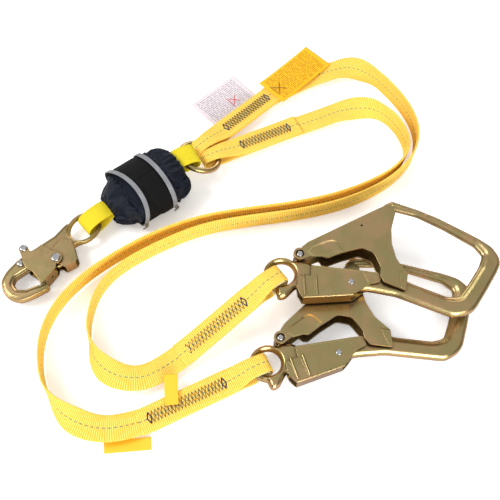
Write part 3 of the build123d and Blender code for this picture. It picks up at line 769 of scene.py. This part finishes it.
near_binding = binding("binding_near", -18.6, (-118, 238), 0.5)
binding("binding_far", 18.6, (-122, 236), 0.5)
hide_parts("wrap_bindings")


def loose_end(name, marks, tilt):
    """A short free end of binding tape."""
    places = [PACK_MIDDLE + (PACK_ALONG * a + PACK_SIDE * b + UP * c) * MM for a, b, c in marks]
    points = read_spline(places, 3, 12)
    across = [PACK_ALONG.lerp(UP, tilt)] * len(points)
    piece = ribbon(name, points, across, [4.6 * MM] * len(points), 0.9 * MM)
    paint(piece, "grey_binding")
    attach(piece, "lanyard")
    return piece


loose_end("binding_end_near", [(-19, -35, -7), (-20, -36.5, -11), (-21, -36, -15), (-22, -33, -18.5)], 0.2)
loose_end("binding_end_far", [(18, -35, -8), (19, -37, -11), (19, -37, -14), (18, -34.5, -17)], 0.2)


# Lime loops ------------------------------------------------------------------------------

def lime_loop(name, place, angle, marks, node, width=25.0):
    fold = at(*place)
    points = side_line(fold, angle, marks, 16)
    side = UP.cross(heading(angle))
    piece = ribbon(name, points, [side] * len(points), [width * MM] * len(points), PLY)
    paint(piece, "lime_webbing")
    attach(piece, "lanyard")
    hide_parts(node)
    return piece


lime_loop("harness_strap", (-177.3, 20.3, 10.8), 41.5, [
    (52, 8.2), (44, 7.2), (37, 6.8), (30, 8.6), (22, 9.8), (12, 9.2), (4, 7.2), (0.4, 3.2), (0.4, -2),
    (4, -6.4), (12, -7.2), (22, -5.0), (30, -0.5), (37, 3.6), (44, 4.9), (52, 5.9)], "harness_loop", 21)
lime_loop("ring_strap", (-59.2, 108.2, 22.6), 206, [
    (42, 1.1), (34, 1.2), (28, 3.4), (22, 6.2), (12, 6.6), (4, 5.6), (0.4, 3), (0.4, -3),
    (4, -5.6), (12, -6.6), (22, -6.2), (28, -3.4), (34, -1.2), (42, -1.1)], "ring_loop")

# Forged bodies ---------------------------------------------------------------------------

HOLE_CLEARANCE = 6.5 * MM


def forging(node, body, grid, level, opening, inner_rim, outer_rim, holes):
    """A smooth copy of a forged body whose thickness varies in from its rims.

    opening is the middle of the gap that the inner rim faces and how far that rim can lie
    from it. Each rim is a table of (distance in, share of the thickness). The edges of the
    rivet holes aren't rims."""
    source = nodes[node]
    copy = bpy.data.objects.new(node + "_copy", source.data.copy())
    copy.matrix_world = source.matrix_world.copy()
    bpy.context.scene.collection.objects.link(copy)
    remesh = copy.modifiers.new("remesh", "REMESH")
    remesh.mode = "VOXEL"
    remesh.voxel_size = grid * MM
    smooth = copy.modifiers.new("smooth", "SMOOTH")
    smooth.factor = 0.5
    smooth.iterations = 5
    bpy.context.view_layer.update()
    view = bpy.context.evaluated_depsgraph_get()
    mesh = bpy.data.meshes.new_from_object(copy.evaluated_get(view))
    mesh.transform(copy.matrix_world)
    mesh.materials.clear()
    bpy.data.objects.remove(copy)
    centre = Vector((opening[0], opening[1], 0))
    rim = []
    for vertex in mesh.vertices:
        if abs(vertex.co.z - level) < grid * 0.8 * MM and abs(vertex.normal.z) < 0.5:
            flat = Vector((vertex.co.x, vertex.co.y, 0))
            if all((flat - hole).length > HOLE_CLEARANCE for hole in holes):
                offset = centre - flat
                inner = vertex.normal.dot(offset) > 0 and offset.length < opening[2]
                rim.append((flat, inner))
    tree = KDTree(len(rim))
    for i, (flat, inner) in enumerate(rim):
        tree.insert(flat, i)
    tree.balance()
    for vertex in mesh.vertices:
        flat, i, distance = tree.find(Vector((vertex.co.x, vertex.co.y, 0)))
        table = inner_rim if rim[i][1] else outer_rim
        share = table[0][1]
        for (d0, s0), (d1, s1) in zip(table, table[1:]):
            share += (s1 - s0) * ease(distance / MM, d0, d1)
        vertex.co.z = level + (vertex.co.z - level) * share
    mesh.polygons.foreach_set("use_smooth", [True] * len(mesh.polygons))
    mesh.update()
    piece = bpy.data.objects.new(node + "_forged", mesh)
    bpy.context.scene.collection.objects.link(piece)
    paint(piece, "zinc_plated_steel")
    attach(piece, body)
    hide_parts(node)


def on_hook(place, angle, u, v):
    """A place given along and across a hook, flat on the bench."""
    forward = heading(angle)
    spot = at(place[0], place[1]) + (forward * u + UP.cross(forward) * v) * MM
    return Vector((spot.x, spot.y, 0))


BOW_INNER = [(0, 0.4), (2.2, 0.6), (7.2, 1.0)]
BOW_OUTER = [(0, 0.45), (1.2, 0.74), (3.6, 1.0)]
BOWL_INNER = [(0, 0.45), (1.3, 0.92), (2.6, 0.62), (4.6, 1.0)]
BOWL_OUTER = [(0, 0.5), (1.3, 0.94), (2.7, 0.8), (3.6, 1.0)]

# Places along and across a hook: the middle of its opening, and the rivets through its body.
BOW_MIDDLE, BOW_REACH = (156, 22), 0.078
HOOK_RIVETS = [(18.4, 19), (68, -11)]
BOWL_MIDDLE, BOWL_REACH = (84, -2), 0.02
SNAP_RIVETS = [(45.6, 6.8), (71, -20.5)]

for hook, (place, angle, level) in HOOKS.items():
    middle = on_hook(place, angle, *BOW_MIDDLE)
    holes = [on_hook(place, angle, *rivet) for rivet in HOOK_RIVETS]
    opening = (middle.x, middle.y, BOW_REACH)
    forging(hook + "_body", hook, 0.9, level * MM, opening, BOW_INNER, BOW_OUTER, holes)
middle = on_hook(SNAP_EYE, SNAP_ANGLE, *BOWL_MIDDLE)
holes = [on_hook(SNAP_EYE, SNAP_ANGLE, *rivet) for rivet in SNAP_RIVETS]
opening = (middle.x, middle.y, BOWL_REACH)
forging("snap_body", "snap_hook", 0.6, SNAP_LEVEL * MM, opening, BOWL_INNER, BOWL_OUTER, holes)

# Pressed details on the plates -----------------------------------------------------------

def pressed(name, body, place, angle, level, lines):
    """Low rounded ridges along lines on a plate. Each line is (radius, [(u, v), ...])."""
    forward = heading(angle)
    side = UP.cross(forward)
    middle = at(*place, level)
    for k, (radius, marks) in enumerate(lines):
        strand = read_spline([middle + (forward * u + side * v) * MM for u, v in marks], 3, 8)
        ridge = tubes(f"{name}_{k}", [strand], radius * MM)
        paint(ridge, "zinc_plated_steel")
        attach(ridge, body)


def raised(name, body, place, angle, level, outline, rise, inset):
    """A low raised panel on a plate, with sloping sides, from its outline in (u, v)."""
    forward = heading(angle)
    side = UP.cross(forward)
    middle = at(*place, level)
    centre = sum((Vector(mark) for mark in outline), Vector((0, 0))) / len(outline)
    vertices = []
    for layer in (0, 1):
        for mark in outline:
            spot = Vector(mark)
            spot += (centre - spot).normalized() * inset * layer
            vertices.append(middle + (forward * spot.x + side * spot.y + UP * rise * layer) * MM)
    count = len(outline)
    faces = [tuple(range(count, 2 * count))]
    for k in range(count):
        nxt = (k + 1) % count
        faces.append((k, nxt, count + nxt, count + k))
    piece = new_mesh(name, vertices, faces, smooth=False)
    paint(piece, "zinc_plated_steel")
    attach(piece, body)


# Outlines and lines on the plates, and the plates' heights over a hook's middle plane.
GATE_TOP = 10.6
LEVER_TOP = 7.9
GATE_DISH = [
    (25, 20.6), (29, 26.4), (44, 33.4), (53.5, 34.6), (57, 32), (61.5, 24), (63, 21.4),
    (46, 15.4), (30, 15.4),
]
GATE_FOOT = [(114.4, 1), (123.6, -3.6), (120, -21.2), (115.8, -19.4)]
LEVER_TAB = [(80.6, -1.4), (86.8, -3.0), (90.4, -12.6), (84.6, -13.6)]
GATE_LINES = [(0.5, [(30, 32.8), (66, 52), (102, 71.2)])]
LEVER_LINES = [
    (1.2, [(21.6, -3), (21.9, -14), (22.2, -25)]),
    (1.2, [(33.6, -3), (33.9, -14), (34.2, -25)]),
    (0.9, [(20, -27.4), (45, -26.4), (69, -24.6)]),
    (0.5, [(31, 6.2), (56, 2.4), (82, -1.4)]),
]
for hook, (place, angle, level) in HOOKS.items():
    gate, lever = hook + "_gate", hook + "_lever"
    gate_top = level + GATE_TOP
    lever_top = level + LEVER_TOP
    pressed(gate + "_press", gate + "_body", place, angle, gate_top - 0.4, GATE_LINES)
    pressed(lever + "_press", lever + "_body", place, angle, lever_top, LEVER_LINES)
    raised(gate + "_dish", gate + "_body", place, angle, gate_top, GATE_DISH, 0.8, 3.0)
    raised(gate + "_foot", gate + "_body", place, angle, gate_top + 0.05, GATE_FOOT, 0.5, 1.2)
    raised(lever + "_tab", lever + "_body", place, angle, lever_top + 0.05, LEVER_TAB, 0.45, 1.0)

# CAD parts keep their shape and get their finish ------------------------------------------

for entry in frame["record"]["subparts"]:
    for material_slot in nodes[entry["node"]].material_slots:
        material_slot.material = MATERIALS[entry["material_slot"]]

# Studio ----------------------------------------------------------------------------------

floor_mesh = bpy.data.meshes.new("floor")
corners = [(x, y, -0.0005) for x, y in ((-3, -3), (3, -3), (3, 3), (-3, 3))]
floor_mesh.from_pydata(corners, [], [(0, 1, 2, 3)])
floor = bpy.data.objects.new("floor", floor_mesh)
bpy.context.scene.collection.objects.link(floor)
floor_shader = Shader("floor", Base_Color=(0.95, 0.95, 0.95, 1), Roughness=0.8)
seen = floor_shader.node("LightPath").outputs["Is Camera Ray"]
floor_shader.put(floor_shader.surface, {
    "Emission Color": (1, 1, 1, 1), "Emission Strength": floor_shader.span(seen, 0, 1, 0.1, 0.34)})
floor.data.materials.append(floor_shader.material)

world = bpy.data.worlds.new("studio")
bpy.context.scene.world = world
world.use_nodes = True
sky = world.node_tree
direction = sky.nodes.new("ShaderNodeTexCoord")
split = sky.nodes.new("ShaderNodeSeparateXYZ")
dome = sky.nodes.new("ShaderNodeMapRange")
sky.links.new(direction.outputs["Generated"], split.inputs[0])
sky.links.new(split.outputs[2], dome.inputs[0])
dome.inputs[1].default_value = 0.15
dome.inputs[2].default_value = 0.95
dome.inputs[3].default_value = 0.12
dome.inputs[4].default_value = 0.8
sky.links.new(dome.outputs[0], sky.nodes["Background"].inputs[1])
sky.nodes["Background"].inputs[0].default_value = (0.97, 0.98, 1.0, 1)


def softbox(name, place, size, power):
    """A lamp that faces the middle of the bench."""
    data = bpy.data.lights.new(name, "AREA")
    data.shape = "RECTANGLE"
    data.size, data.size_y = size
    data.energy = power
    lamp = bpy.data.objects.new(name, data)
    bpy.context.scene.collection.objects.link(lamp)
    lamp.location = place
    lamp.rotation_euler = Vector(place).to_track_quat("Z", "Y").to_euler()


softbox("key", (-1.3, 0.1, 1.25), (0.8, 0.8), 20)
softbox("fill", (0.5, -1.6, 0.75), (1.2, 0.6), 30)
softbox("back", (0.1, 1.7, 0.7), (1.6, 0.4), 10)
